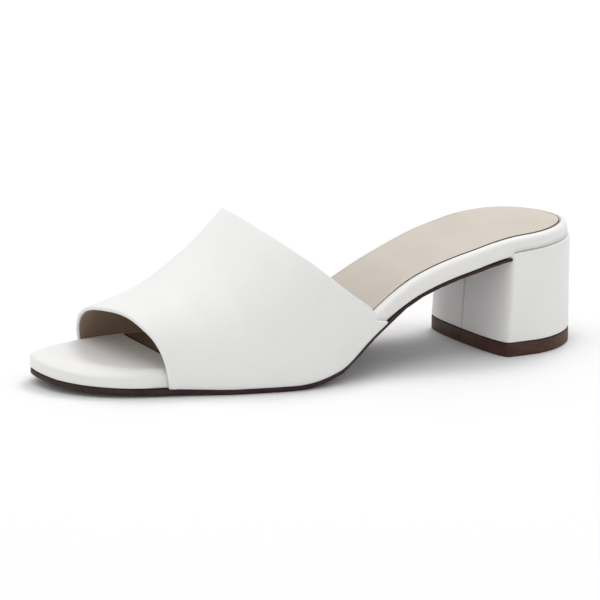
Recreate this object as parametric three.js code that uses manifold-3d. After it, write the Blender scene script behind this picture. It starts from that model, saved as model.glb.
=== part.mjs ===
// Open-toe mule for the left foot: wrapped footbed, glued outsole, one wide hollow vamp band,
// sock lining and a covered block heel with its top piece.
// Millimetres. +X is the lateral side, the toe points to -Y, +Z is up.
// Lengths along the shoe are counted from the toe tip towards the heel.

import * as THREE from 'three';
import { mergeVertices } from 'three/addons/utils/BufferGeometryUtils.js';
import Module from 'manifold-3d';

const wasm = await Module();
wasm.setup();

// Driving sizes of the last and the sole
const shoeLength = 238;
const ballWidth = 77;
const waistWidth = 54;
const seatWidth = 59;
const seatRise = 42.8;
const toeSpring = 4.2;
const toeTipOffset = 10;
const toeRoundMedial = 37;
const toeRoundLateral = 41;
const heelTipOffset = 1.5;
const heelRound = 28;
const toeFullness = 2.04;
const heelFullness = 1.96;

// Thicknesses and edges
const outsoleThickness = 2.2;
const outsoleThinning = 0.4;
const outsoleEdgeInset = 0.4;
const outsoleEdgeRound = 0.5;
const footbedThickness = 7.6;
const footbedRimRound = 3;
const footbedRimDrop = 2.6;
const footbedToeRound = 10;
const footbedToeDrop = 3.7;
const footbedFootRound = 0.8;
const footbedPinch = 0.6;
const seatPinch = 0.9;
const seatStep = 1.7;
const sockThickness = 0.9;
const sockMargin = 4.7;
const sockSunk = 0.1;
const sockFront = 52;
const clearance = 0.3;

// Vamp band
const bandWall = 1.8;
const bandRiseFront = 30;
const bandRiseBack = 71;
const bandFrontLateral = 44.9;
const bandFrontTip = 25.6;
const bandFrontMedial = 29.4;
const bandBackLateral = 142.5;
const bandBackCrest = 88.5;
const bandBackMedial = 139.5;
const bandFade = 14;
const bandUpright = 5;
const bandTuck = 0.7;
const bandTuckHeight = 2.5;

// Heel and its top piece
const breastPlace = 190.9;
const breastRound = 6;
const breastFullness = 2.8;
const breastTurn = 0.16;
const breastLean = 2.5;
const heelStand = 0.2;
const heelTaper = 0.2;
const topPieceThickness = 5.9;
const topPieceRound = 0.5;

// Where the toe's flatter rim and the seat's pinch begin and end along the shoe. The rim is flat in full
// at the lateral edge and not at all at the medial edge.
const toeRimStart = 8;
const toeRimEnd = 48;
const toeDropStart = 45;
const toeDropEnd = 100;
const seatPinchStart = 150;
const seatPinchEnd = 200;

// Where the outsole starts to thin towards the heel and where it is thinnest
const thinningStart = 115;
const thinningEnd = 180;

// Steps of the facets
const outlineSteps = 44;
const heelSteps = 24;
const bandStepsAcross = 44;
const bandStepsAlong = 22;
const bandUprightSteps = 3;
const heelLevels = 6;
const breastSteps = 5;
const roundSteps = 3;

// Working distances: points closer than this are one, a small turn for slopes, and a reach past all edges
const mergeDistance = 1e-4;
const smallTurn = 0.004;
const reach = 2 * shoeLength;

// Half widths of the footbed to each side of the last's straight line, as shares of a named width
const outlineRows = [
  { along: 0.00, of: ballWidth, medial: 0.385, lateral: 0.305 },
  { along: 0.10, of: ballWidth, medial: 0.415, lateral: 0.345 },
  { along: 0.20, of: ballWidth, medial: 0.475, lateral: 0.39 },
  { along: 0.31, of: ballWidth, medial: 0.51, lateral: 0.485 },
  { along: 0.43, of: ballWidth, medial: 0.465, lateral: 0.54 },
  { along: 0.56, of: waistWidth, medial: 0.54, lateral: 0.60 },
  { along: 0.67, of: waistWidth, medial: 0.515, lateral: 0.485 },
  { along: 0.78, of: seatWidth, medial: 0.51, lateral: 0.49 },
  { along: 0.90, of: seatWidth, medial: 0.52, lateral: 0.475 },
  { along: 1.00, of: seatWidth, medial: 0.515, lateral: 0.44 },
];

// Height of the footbed's underside above its flat tread, as shares of toe spring and seat rise
const profileRows = [
  { along: 0.00, spring: 1.0, rise: 0 },
  { along: 0.025, spring: 0.7, rise: 0 },
  { along: 0.08, spring: 0.47, rise: 0 },
  { along: 0.18, spring: 0.27, rise: 0 },
  { along: 0.31, spring: 0, rise: 0 },
  { along: 0.40, spring: 0, rise: 0 },
  { along: 0.49, spring: 0, rise: 0.076 },
  { along: 0.58, spring: 0, rise: 0.39 },
  { along: 0.67, spring: 0, rise: 0.66 },
  { along: 0.76, spring: 0, rise: 0.845 },
  { along: 0.86, spring: 0, rise: 0.963 },
  { along: 1.00, spring: 0, rise: 1.0 },
];

// Sections of the last under the band: crest height between front and back rise, crest place across
// the ball and the fullness of each side of the section
const bandRows = [
  { along: 0.08, height: 0, crest: 0.034, fullLateral: 2.04, fullMedial: 2.05 },
  { along: 0.19, height: 0.177, crest: 0.002, fullLateral: 1.94, fullMedial: 2.0 },
  { along: 0.295, height: 0.486, crest: -0.133, fullLateral: 1.78, fullMedial: 2.0 },
  { along: 0.40, height: 1.0, crest: -0.241, fullLateral: 1.92, fullMedial: 1.95 },
];

// Front and back edges of the band from the lateral base (turn 0) over the crest (0.5) to the medial
// base (1), as shares of the way from a side's base to the front tip and to the back crest
const bandEdgeRows = [
  { turn: 0.00, frontOf: bandFrontLateral, front: 0, backOf: bandBackLateral, back: 0 },
  { turn: 0.07, frontOf: bandFrontLateral, front: 0.034, backOf: bandBackLateral, back: 0.109 },
  { turn: 0.14, frontOf: bandFrontLateral, front: 0.093, backOf: bandBackLateral, back: 0.337 },
  { turn: 0.22, frontOf: bandFrontLateral, front: 0.215, backOf: bandBackLateral, back: 0.592 },
  { turn: 0.30, frontOf: bandFrontLateral, front: 0.41, backOf: bandBackLateral, back: 0.795 },
  { turn: 0.38, frontOf: bandFrontLateral, front: 0.585, backOf: bandBackLateral, back: 0.929 },
  { turn: 0.44, frontOf: bandFrontLateral, front: 0.73, backOf: bandBackLateral, back: 0.98 },
  { turn: 0.50, frontOf: bandFrontLateral, front: 0.86, backOf: bandBackLateral, back: 1 },
  { turn: 0.56, frontOf: bandFrontLateral, front: 0.953, backOf: bandBackMedial, back: 0.986 },
  { turn: 0.64, frontOf: bandFrontMedial, front: 1, backOf: bandBackMedial, back: 0.922 },
  { turn: 0.72, frontOf: bandFrontMedial, front: 0.955, backOf: bandBackMedial, back: 0.765 },
  { turn: 0.82, frontOf: bandFrontMedial, front: 0.72, backOf: bandBackMedial, back: 0.435 },
  { turn: 1.00, frontOf: bandFrontMedial, front: 0, backOf: bandBackMedial, back: 0 },
];

// Smooth curve without overshoot through one column of a table
function columnCurve(rows, read, place = (row) => row.along * shoeLength) {
  const x = rows.map(place);
  const y = rows.map(read);
  const count = x.length;
  const slope = [];
  for (let i = 0; i < count - 1; i++) {
    slope.push((y[i + 1] - y[i]) / (x[i + 1] - x[i]));
  }
  const tangent = [slope[0]];
  for (let i = 1; i < count - 1; i++) {
    const turns = slope[i - 1] * slope[i] <= 0;
    tangent.push(turns ? 0 : (2 * slope[i - 1] * slope[i]) / (slope[i - 1] + slope[i]));
  }
  tangent.push(slope[count - 2]);
  return (along) => {
    let i = 0;
    while (i < count - 2 && along > x[i + 1]) i++;
    const step = x[i + 1] - x[i];
    if (along > x[count - 1]) return y[count - 1] + tangent[count - 1] * (along - x[count - 1]);
    if (along < x[0]) return y[0] + tangent[0] * (along - x[0]);
    const s = (along - x[i]) / step;
    const start = (1 + 2 * s) * (1 - s) * (1 - s) * y[i] + s * (1 - s) * (1 - s) * step * tangent[i];
    const end = s * s * (3 - 2 * s) * y[i + 1] - s * s * (1 - s) * step * tangent[i + 1];
    return start + end;
  };
}

// Share of full width at a distance from a rounded end
function endRound(distance, radius, power) {
  const left = THREE.MathUtils.clamp(1 - distance / radius, 0, 1);
  return Math.pow(1 - Math.pow(left, power), 1 / power);
}

const medialWidth = columnCurve(outlineRows, (row) => row.medial * row.of);
const lateralWidth = columnCurve(outlineRows, (row) => row.lateral * row.of);
const treadHeight = outsoleThickness + clearance;
const underside = columnCurve(
  profileRows,
  (row) => treadHeight + row.spring * toeSpring + row.rise * seatRise,
);

// Middle line between the two rounded ends
function middle(along) {
  return -toeTipOffset + (toeTipOffset + heelTipOffset) * (along / shoeLength);
}

// Edge of the footbed across the shoe, positive to the lateral side
function soleEdge(along, side) {
  const straight = side > 0 ? lateralWidth(along) : -medialWidth(along);
  const toe = endRound(along, side > 0 ? toeRoundLateral : toeRoundMedial, toeFullness);
  const heel = endRound(shoeLength - along, heelRound, heelFullness);
  return middle(along) + (straight - middle(along)) * toe * heel;
}

// One where the band clasps the footbed, falling to nothing past its two ends
function underBand(along, side) {
  const front = side > 0 ? bandFrontLateral : bandFrontMedial;
  const back = side > 0 ? bandBackLateral : bandBackMedial;
  const entering = THREE.MathUtils.smoothstep(along, front - bandFade, front);
  const leaving = THREE.MathUtils.smoothstep(along, back, back + bandFade);
  return entering - leaving;
}

// Place along the shoe of a step that runs between two ends and crowds together near both
function crowdedPlace(start, end, k, steps) {
  return start + (end - start) * (1 - Math.cos((Math.PI * k) / steps)) / 2;
}

// Closed outline of the sole in plan: lateral side from toe to heel, then the medial side back.
// widen(along, side) moves the edge out, and inset(point) moves a point in along the outline's normal.
function soleOutline(widen, inset) {
  const points = [];
  const add = (k, side) => {
    const along = crowdedPlace(0, shoeLength, k, outlineSteps);
    const atTip = k === 0 || k === outlineSteps;
    const across = soleEdge(along, side) + (atTip ? 0 : side * widen(along, side));
    points.push(new THREE.Vector2(across, along));
  };
  for (let k = 0; k <= outlineSteps; k++) add(k, 1);
  for (let k = outlineSteps - 1; k > 0; k--) add(k, -1);
  return insetOutline(points, inset);
}

// Moves a closed outline inwards along the normal at each of its points
function insetOutline(points, inset) {
  const count = points.length;
  return points.map((point, i) => {
    const before = points[(i + count - 1) % count];
    const after = points[(i + 1) % count];
    const tangent = after.clone().sub(before).normalize();
    const move = inset(point);
    return new THREE.Vector2(point.x - tangent.y * move, point.y + tangent.x * move);
  });
}

// Closed solid through rings with equal counts; each end is capped by strips between opposite points
function loftSolid(rings) {
  const count = rings[0].length;
  const positions = [];
  const triangles = [];
  for (const ring of rings) {
    for (const point of ring) positions.push(point.x, point.y, point.z);
  }
  const index = (ring, i) => ring * count + ((i + count) % count);
  for (let r = 0; r < rings.length - 1; r++) {
    for (let i = 0; i < count; i++) {
      triangles.push([index(r, i), index(r, i + 1), index(r + 1, i + 1)]);
      triangles.push([index(r, i), index(r + 1, i + 1), index(r + 1, i)]);
    }
  }
  const cap = (ring, flip) => {
    for (let i = 0; i < count / 2; i++) {
      const near = [index(ring, i), index(ring, i + 1)];
      const far = [index(ring, count - i), index(ring, count - i - 1)];
      const strip = [[near[0], far[1], near[1]], [near[0], far[0], far[1]]];
      for (const triangle of strip) {
        if (new Set(triangle).size === 3) triangles.push(flip ? triangle.reverse() : triangle);
      }
    }
  };
  cap(0, false);
  cap(rings.length - 1, true);
  return solidFrom(positions, triangles);
}

// Turns points and triangles into a solid whose faces point outwards
function solidFrom(positions, triangles) {
  let volume = 0;
  const corner = (i) => new THREE.Vector3().fromArray(positions, 3 * i);
  for (const [a, b, c] of triangles) volume += corner(a).dot(corner(b).cross(corner(c)));
  const turned = volume < 0 ? triangles.map(([a, b, c]) => [a, c, b]) : triangles;
  let geometry = new THREE.BufferGeometry();
  geometry.setAttribute('position', new THREE.Float32BufferAttribute(positions, 3));
  geometry.setIndex(turned.flat());
  geometry = mergeVertices(geometry, mergeDistance);
  return new wasm.Manifold(new wasm.Mesh({
    numProp: 3,
    vertProperties: new Float32Array(geometry.attributes.position.array),
    triVerts: new Uint32Array(geometry.index.array),
  }));
}

// Solid between rings that follow the underside of the footbed.
// A level gives an inset from the outline and a height above the underside at any point of the plan.
function soleLayer(widen, levels) {
  return loftSolid(levels.map(({ inset, height }) => {
    return soleOutline(widen, inset).map((point) => {
      return new THREE.Vector3(point.x, point.y, underside(point.y) + height(point));
    });
  }));
}

const noWidening = () => 0;
const evenly = (value) => () => value;

// Levels of a quarter round, from a flat at a height to a side. up is 1 under a top flat and -1 over
// a bottom one; inset and drop give the round's size at any point of the plan.
function roundLevels(flat, up, inset, drop) {
  const levels = [];
  for (let i = 0; i <= roundSteps; i++) {
    const angle = (Math.PI / 2) * (i / roundSteps);
    levels.push({
      inset: (point) => inset(point) * (1 - Math.sin(angle)),
      height: (point) => flat - up * drop(point) * (1 - Math.cos(angle)),
    });
  }
  return levels;
}

// Levels of a layer with small even rounds on both of its edges
function evenLevels(bottom, top, bottomRound, topRound) {
  return [
    ...roundLevels(bottom, -1, evenly(bottomRound), evenly(bottomRound)),
    ...roundLevels(top, 1, evenly(topRound), evenly(topRound)).reverse(),
  ];
}

// Levels of a layer with sharp edges and one inset
function flatLevels(bottom, top, inset) {
  return [bottom, top].map((height) => ({ inset: evenly(inset), height: evenly(height) }));
}

// Everything behind a line straight across the shoe
function behind(along) {
  return manifoldOf(new THREE.BoxGeometry(reach, reach, reach).translate(0, along + reach / 2, 0));
}

// Level of the heel at which the seat begins
const seatLevel = 1 - (outsoleThickness + seatStep) / seatRise;

// Prism that starts a gap ahead of the heel's breast and reaches past the back of the shoe
function behindBreast(gap) {
  const outline = heelOutline(seatLevel, evenly(-gap));
  const breastPoints = [];
  for (let k = -breastSteps; k <= breastSteps; k++) {
    breastPoints.push(outline[(k < 0 ? -k : outline.length - k) % outline.length]);
  }
  const first = breastPoints[0];
  const last = breastPoints[breastPoints.length - 1];
  const far = Math.sign(first.x) * reach;
  const shape = new THREE.Shape([
    new THREE.Vector2(far, reach),
    new THREE.Vector2(far, first.y),
    ...breastPoints,
    new THREE.Vector2(-far, last.y),
    new THREE.Vector2(-far, reach),
  ]);
  return manifoldOf(new THREE.ExtrudeGeometry(shape, { depth: reach, bevelEnabled: false }));
}

// Solid from one of three's ready-made shapes
function manifoldOf(source) {
  source.deleteAttribute('normal');
  source.deleteAttribute('uv');
  const geometry = mergeVertices(source, mergeDistance);
  const index = geometry.index.array;
  const triangles = [];
  for (let i = 0; i < index.length; i += 3) triangles.push([index[i], index[i + 1], index[i + 2]]);
  return solidFrom([...geometry.attributes.position.array], triangles);
}

// Footbed with a rolled rim that is flatter and wider round the toe and drawn in a little over the heel,
// a recess for the sock lining and a seat cut in its underside for the heel
function makeFootbed() {
  const { smoothstep, clamp } = THREE.MathUtils;
  const towardsLateral = ({ x, y }) => clamp(0.5 + (x - middle(y)) / ballWidth, 0, 1);
  const toeShare = (point) => (1 - smoothstep(point.y, toeRimStart, toeRimEnd)) * towardsLateral(point);
  const dropShare = (point) => (1 - smoothstep(point.y, toeDropStart, toeDropEnd)) * towardsLateral(point);
  const rimRound = (point) => footbedRimRound + (footbedToeRound - footbedRimRound) * toeShare(point);
  const rimDrop = (point) => footbedRimDrop + (footbedToeDrop - footbedRimDrop) * dropShare(point);
  const drawnIn = (point) => seatPinch * smoothstep(point.y, seatPinchStart, seatPinchEnd);
  const levels = [
    ...roundLevels(0, -1, evenly(footbedFootRound), evenly(footbedFootRound)),
    ...roundLevels(footbedThickness, 1, rimRound, rimDrop).reverse(),
  ].map(({ inset, height }) => ({ inset: (point) => inset(point) + drawnIn(point), height }));
  const body = soleLayer((along, side) => -footbedPinch * underBand(along, side), levels);
  const recessFloor = footbedThickness - sockSunk - sockThickness - clearance;
  const recess = soleLayer(
    noWidening,
    flatLevels(recessFloor, footbedThickness + sockThickness, sockMargin - clearance),
  );
  const seat = [-outsoleThickness, seatStep].map((height) => {
    return heelOutline(seatLevel, evenly(-clearance)).map((point) => {
      return new THREE.Vector3(point.x, point.y, underside(point.y) + height);
    });
  });
  return body.subtract(recess.intersect(behind(sockFront - clearance))).subtract(loftSolid(seat));
}

// Sock lining, cut straight across at its front
function makeSockLining() {
  const top = footbedThickness - sockSunk;
  const whole = soleLayer(noWidening, flatLevels(top - sockThickness, top, sockMargin));
  return whole.intersect(behind(sockFront));
}

// Thin outsole from the toe to the heel's breast, wide enough under the band to cover its edges and
// skived thinner through the waist
function makeOutsole() {
  const cover = bandWall + clearance - bandTuck - outsoleEdgeInset;
  const widen = (along, side) => cover * underBand(along, side) - outsoleEdgeInset;
  const bottom = ({ y }) => {
    const thinned = outsoleThinning * THREE.MathUtils.smoothstep(y, thinningStart, thinningEnd);
    return -clearance - outsoleThickness * (1 - thinned);
  };
  const levels = [
    ...roundLevels(0, -1, evenly(outsoleEdgeRound), evenly(outsoleEdgeRound))
      .map(({ inset, height }) => ({ inset, height: (point) => bottom(point) + height(point) })),
    ...roundLevels(-clearance, 1, evenly(outsoleEdgeRound / 2), evenly(outsoleEdgeRound / 2)).reverse(),
  ];
  return soleLayer(widen, levels).subtract(behindBreast(clearance));
}

const bandHeight = columnCurve(
  bandRows,
  (row) => bandRiseFront + (bandRiseBack - bandRiseFront) * row.height,
);
const bandCrest = columnCurve(bandRows, (row) => row.crest * ballWidth);
const fullLateral = columnCurve(bandRows, (row) => row.fullLateral);
const fullMedial = columnCurve(bandRows, (row) => row.fullMedial);

// Where the band's front and back edges run
const bandFront = columnCurve(
  bandEdgeRows,
  (row) => row.frontOf + (bandFrontTip - row.frontOf) * row.front,
  (row) => row.turn,
);
const bandBack = columnCurve(
  bandEdgeRows,
  (row) => row.backOf + (bandBackCrest - row.backOf) * row.back,
  (row) => row.turn,
);

// A turn runs from 0 at the lateral base over the crest at one half to 1 at the medial base. It splits
// into an upright stretch beside the footbed and an angle over the foot.
function sectionTurn(turn) {
  const side = turn <= 0.5 ? 1 : -1;
  const fromBase = 1 - Math.abs(2 * turn - 1);
  const uprightShare = bandUprightSteps / (bandStepsAcross / 2);
  const upright = Math.min(1, fromBase / uprightShare);
  const angle = (Math.PI / 2) * Math.max(0, (fromBase - uprightShare) / (1 - uprightShare));
  return { side, upright, angle };
}

// Outer face of the band: a section of the last at a place along the shoe
function bandFace(along, turn) {
  const { side, upright, angle } = sectionTurn(turn);
  const edge = soleEdge(along, side) + side * (clearance + bandWall);
  const foot = underside(along) + bandUpright * upright;
  const tuck = bandTuck * Math.pow(Math.max(0, 1 - (bandUpright * upright) / bandTuckHeight), 2);
  const power = 2 / (side > 0 ? fullLateral(along) : fullMedial(along));
  const crest = bandCrest(along);
  const across = crest + (edge - side * tuck - crest) * Math.pow(Math.max(Math.cos(angle), 0), power);
  const height = foot + (bandHeight(along) - foot) * Math.pow(Math.sin(angle), power);
  return new THREE.Vector3(across, along, height);
}

// Outward normal of the band's outer face
function bandNormal(along, turn) {
  const a = THREE.MathUtils.clamp(turn, smallTurn, 1 - smallTurn);
  const across = bandFace(along, a + smallTurn).sub(bandFace(along, a - smallTurn));
  const length = bandFace(along + 1, a).sub(bandFace(along - 1, a));
  return length.cross(across).normalize();
}

// Hollow band, closed all round through its outer and inner faces at each turn
function makeBand() {
  const rings = [];
  for (let j = 0; j <= bandStepsAcross; j++) {
    const turn = j / bandStepsAcross;
    const front = bandFront(turn);
    const back = bandBack(turn);
    const outer = [];
    const inner = [];
    for (let i = 0; i <= bandStepsAlong; i++) {
      const along = front + ((back - front) * i) / bandStepsAlong;
      const point = bandFace(along, turn);
      const inwards = bandNormal(along, turn).multiplyScalar(-bandWall);
      outer.push(point);
      inner.push(point.clone().add(inwards));
    }
    rings.push([...outer, ...inner.reverse()]);
  }
  return loftSolid(rings);
}

// Heel outline at a level between the top piece (0) and the seat (1)
function heelOutline(level, inset) {
  const front = breastPlace + breastLean * level;
  const back = shoeLength + heelStand;
  const shrink = 1 + (heelStand - heelTaper * (1 - level)) / (seatWidth / 2);
  const points = [];
  const add = (k, side) => {
    const along = crowdedPlace(front, back, k, heelSteps);
    const seat = soleEdge(along - heelStand, side) - middle(along);
    const breast = endRound(along - front, breastRound, breastFullness);
    const across = middle(along) + seat * shrink * breast;
    const fade = 1 - THREE.MathUtils.smoothstep(along, front, shoeLength - heelRound);
    points.push(new THREE.Vector2(across, along + breastTurn * across * fade));
  };
  for (let k = 0; k <= heelSteps; k++) add(k, 1);
  for (let k = heelSteps - 1; k > 0; k--) add(k, -1);
  return insetOutline(points, inset);
}

// Heel block, whose top stands a step up round the seat of the footbed
function makeHeelBlock() {
  const rings = [];
  for (let i = 0; i <= heelLevels; i++) {
    const level = i / heelLevels;
    rings.push(heelOutline(level, evenly(0)).map((point) => {
      const seat = underside(point.y) + seatStep - clearance;
      const floor = topPieceThickness + clearance;
      return new THREE.Vector3(point.x, point.y, floor + (seat - floor) * level);
    }));
  }
  return loftSolid(rings);
}

// Top piece that the heel walks on
function makeTopPiece() {
  const levels = evenLevels(0, topPieceThickness, topPieceRound, topPieceRound / 2);
  return loftSolid(levels.map(({ inset, height }) => {
    return heelOutline(0, inset).map((point) => new THREE.Vector3(point.x, point.y, height(point)));
  }));
}

// Named mesh of a solid in one finish
function meshOf(name, solid, finish) {
  const { vertProperties, triVerts } = solid.getMesh();
  const geometry = new THREE.BufferGeometry();
  geometry.setAttribute('position', new THREE.BufferAttribute(new Float32Array(vertProperties), 3));
  geometry.setIndex(new THREE.BufferAttribute(new Uint32Array(triVerts), 1));
  geometry.computeVertexNormals();
  const mesh = new THREE.Mesh(geometry, new THREE.MeshStandardMaterial(finish));
  mesh.name = name;
  return mesh;
}

const whiteLeather = { color: 0xf0eeea, roughness: 0.45, metalness: 0 };
const beigeLining = { color: 0xd4cabc, roughness: 0.7, metalness: 0 };
const brownSole = { color: 0x5a3430, roughness: 0.6, metalness: 0 };
const brownTopPiece = { color: 0x543630, roughness: 0.55, metalness: 0 };

const shoe = new THREE.Group();
shoe.add(
  meshOf('outsole', makeOutsole(), brownSole),
  meshOf('footbed', makeFootbed(), whiteLeather),
  meshOf('sock_lining', makeSockLining(), beigeLining),
  meshOf('vamp_band', makeBand(), whiteLeather),
  meshOf('heel_block', makeHeelBlock(), whiteLeather),
  meshOf('heel_top_piece', makeTopPiece(), brownTopPiece),
);

// The origin is the middle of the shoe's box at the floor
const box = new THREE.Box3().setFromObject(shoe);
const centre = box.getCenter(new THREE.Vector3());
shoe.position.set(-centre.x, -centre.y, -box.min.z);

export default shoe;
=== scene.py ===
"""Looks of an open-toe mule with a covered block heel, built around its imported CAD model.

Sizes are written in millimetres, as a shoemaker would, and turned into metres when a mesh is made.
Lengths along the shoe are counted from the toe tip towards the heel. X points to the lateral side
of this left shoe, the toe points to -Y and Z is up.
"""

import logging
import math
from dataclasses import dataclass
from enum import Enum
from functools import cached_property
from typing import Callable, Sequence

import bpy
import numpy as np
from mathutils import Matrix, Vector

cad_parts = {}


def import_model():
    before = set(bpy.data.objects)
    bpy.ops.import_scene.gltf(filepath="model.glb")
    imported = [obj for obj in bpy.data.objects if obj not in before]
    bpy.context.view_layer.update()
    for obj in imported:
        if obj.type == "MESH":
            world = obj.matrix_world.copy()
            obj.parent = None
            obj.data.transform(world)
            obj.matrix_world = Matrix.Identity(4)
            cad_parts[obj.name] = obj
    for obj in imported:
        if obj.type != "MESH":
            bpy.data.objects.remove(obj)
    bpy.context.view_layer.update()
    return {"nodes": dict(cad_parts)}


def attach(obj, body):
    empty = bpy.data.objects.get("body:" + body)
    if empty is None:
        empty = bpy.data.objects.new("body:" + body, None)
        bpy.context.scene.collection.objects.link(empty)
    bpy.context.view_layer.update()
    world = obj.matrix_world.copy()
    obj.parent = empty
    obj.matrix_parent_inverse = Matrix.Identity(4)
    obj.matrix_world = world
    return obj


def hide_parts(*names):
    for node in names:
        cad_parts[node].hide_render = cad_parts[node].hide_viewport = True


MM = 0.001
BODY = "root"

Array = np.ndarray
Colour = tuple[float, float, float]
Widening = Callable[[Array, Array], Array]
Steps = list[tuple[float, float]]

log = logging.getLogger("mule")


class Girth(Enum):
    """Named width of the last that a share in the outline table is taken of."""

    BALL = "ball_width"
    WAIST = "waist_width"
    SEAT = "seat_width"


class Side(Enum):
    """Side of the shoe, on which a base of the band lies."""

    LATERAL = 1.0
    MEDIAL = -1.0


class Slot(Enum):
    """Material slot of the record that a piece stands for; the script only logs it."""

    OUTSOLE = "outsole"
    FOOTBED = "footbed_cover"
    SOCK = "sock_lining"
    BAND = "band_leather"
    HEEL = "heel_cover"
    TOP_PIECE = "top_piece"


def smooth_step(value: Array, low: float | Array, high: float | Array) -> Array:
    """Eases from 0 at low to 1 at high.

    Args:
        value: Values to ease.
        low: Where the ease starts.
        high: Where the ease ends.

    Returns:
        The eased values, between 0 and 1.
    """
    share = np.clip((value - low) / (high - low), 0.0, 1.0)
    return share * share * (3.0 - 2.0 * share)


def hump(value: Array, middle: float, width: float) -> Array:
    """Soft hump of height 1 around a middle value, with the given width to each side."""
    return np.exp(-(((value - middle) / width) ** 2))


def end_round(distance: Array, radius: float | Array, fullness: float) -> Array:
    """Share of the full width at a distance from a rounded end.

    Args:
        distance: Distance from the end.
        radius: Length of the rounded stretch.
        fullness: Power of the rounding, 2 for an ellipse and more for a squarer end.

    Returns:
        The share, 0 at the end and 1 past the rounded stretch.
    """
    left = np.clip(1.0 - distance / radius, 0.0, 1.0)
    return (1.0 - left**fullness) ** (1.0 / fullness)


def inset_outline(points: Array, inset: float | Array) -> Array:
    """Moves a closed outline inwards along the normal at each of its points.

    Args:
        points: The outline's points, one row each, across and along.
        inset: Distance to move, negative to widen, one for all or one for each point.

    Returns:
        The moved points.
    """
    tangent = np.roll(points, -1, axis=0) - np.roll(points, 1, axis=0)
    tangent /= np.linalg.norm(tangent, axis=1, keepdims=True)
    inwards = np.stack([-tangent[:, 1], tangent[:, 0]], axis=1)
    return points + np.broadcast_to(inset, len(points))[:, None] * inwards


def cosine_places(start: float, end: float, steps: int) -> Array:
    """Places from start to end that crowd together near both ends."""
    return start + (end - start) * (1.0 - np.cos(np.pi * np.arange(steps + 1) / steps)) / 2.0


class StationCurve:
    """Smooth curve without overshoot through stations along the shoe."""

    def __init__(self, places: Sequence[float], values: Sequence[float]) -> None:
        """Prepares the curve.

        Args:
            places: Distances of the stations from the toe tip, in millimetres.
            values: Value of the curve at each station.
        """
        self.places = np.asarray(places, float)
        self.values = np.asarray(values, float)
        slope = np.diff(self.values) / np.diff(self.places)
        product = slope[:-1] * slope[1:]
        total = np.where(product > 0.0, slope[:-1] + slope[1:], 1.0)
        inner = np.where(product > 0.0, 2.0 * product / total, 0.0)
        self.tangents = np.concatenate([slope[:1], inner, slope[-1:]])

    def __call__(self, place: Array) -> Array:
        """Reads the curve.

        Args:
            place: Places along it.

        Returns:
            Its value at each place, straight on past its two ends.
        """
        place = np.asarray(place, float)
        i = np.clip(np.searchsorted(self.places, place) - 1, 0, len(self.places) - 2)
        step = self.places[i + 1] - self.places[i]
        share = (place - self.places[i]) / step
        s = np.clip(share, 0.0, 1.0)
        rest = 1.0 - s
        start = rest * rest * ((1.0 + 2.0 * s) * self.values[i] + s * step * self.tangents[i])
        end = s * s * ((3.0 - 2.0 * s) * self.values[i + 1] - rest * step * self.tangents[i + 1])
        over = np.maximum(share - 1.0, 0.0) * step * self.tangents[i + 1]
        under = np.minimum(share, 0.0) * step * self.tangents[i]
        return start + end + over + under


@dataclass(frozen=True)
class OutlineRow:
    """Half widths of the footbed to each side, as shares of a named width."""

    along: float
    of: Girth
    medial: float
    lateral: float


@dataclass(frozen=True)
class ProfileRow:
    """Height of the footbed's underside as shares of the toe spring and the seat rise."""

    along: float
    spring: float
    rise: float


@dataclass(frozen=True)
class BandRow:
    """Section of the last under the band: crest height and place, and fullness of each side."""

    along: float
    height: float
    crest: float
    full_lateral: float
    full_medial: float


@dataclass(frozen=True)
class EdgeRow:
    """Front and back edge of the band at a turn over the foot, as shares of one side's way."""

    turn: float
    front: float
    back: float
    front_of: Side = Side.LATERAL
    back_of: Side = Side.LATERAL


@dataclass(frozen=True)
class Crease:
    """Soft trough that the foot has pressed into the band, with a small ridge on its toe side.

    Both ends are given as a turn over the foot and a share of the way from the front edge. The
    bow, the fade past the ends and the ridge's place and width are shares of the width, and the
    ridge itself and the depth at the ends are shares of the depth.
    """

    start: tuple[float, float]
    end: tuple[float, float]
    width: float
    depth: float
    end_depth: float = 0.35
    bow: float = 0.4
    fade: float = 2.0
    ridge: float = 0.45
    ridge_place: float = 1.9
    ridge_width: float = 1.3


@dataclass(frozen=True)
class Level:
    """One ring of the footbed: its inset from the outline, its height and how far it is sunk."""

    inset: Array
    height: Array
    sunk: float = 0.0


def quarter_round(radius: float, steps: int) -> Steps:
    """Insets and heights of a quarter round between a flat and a side, from the flat outwards."""
    angles = [math.pi / 2.0 * i / steps for i in range(steps + 1)]
    return [(radius * (1.0 - math.sin(a)), radius * (1.0 - math.cos(a))) for a in angles]


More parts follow.
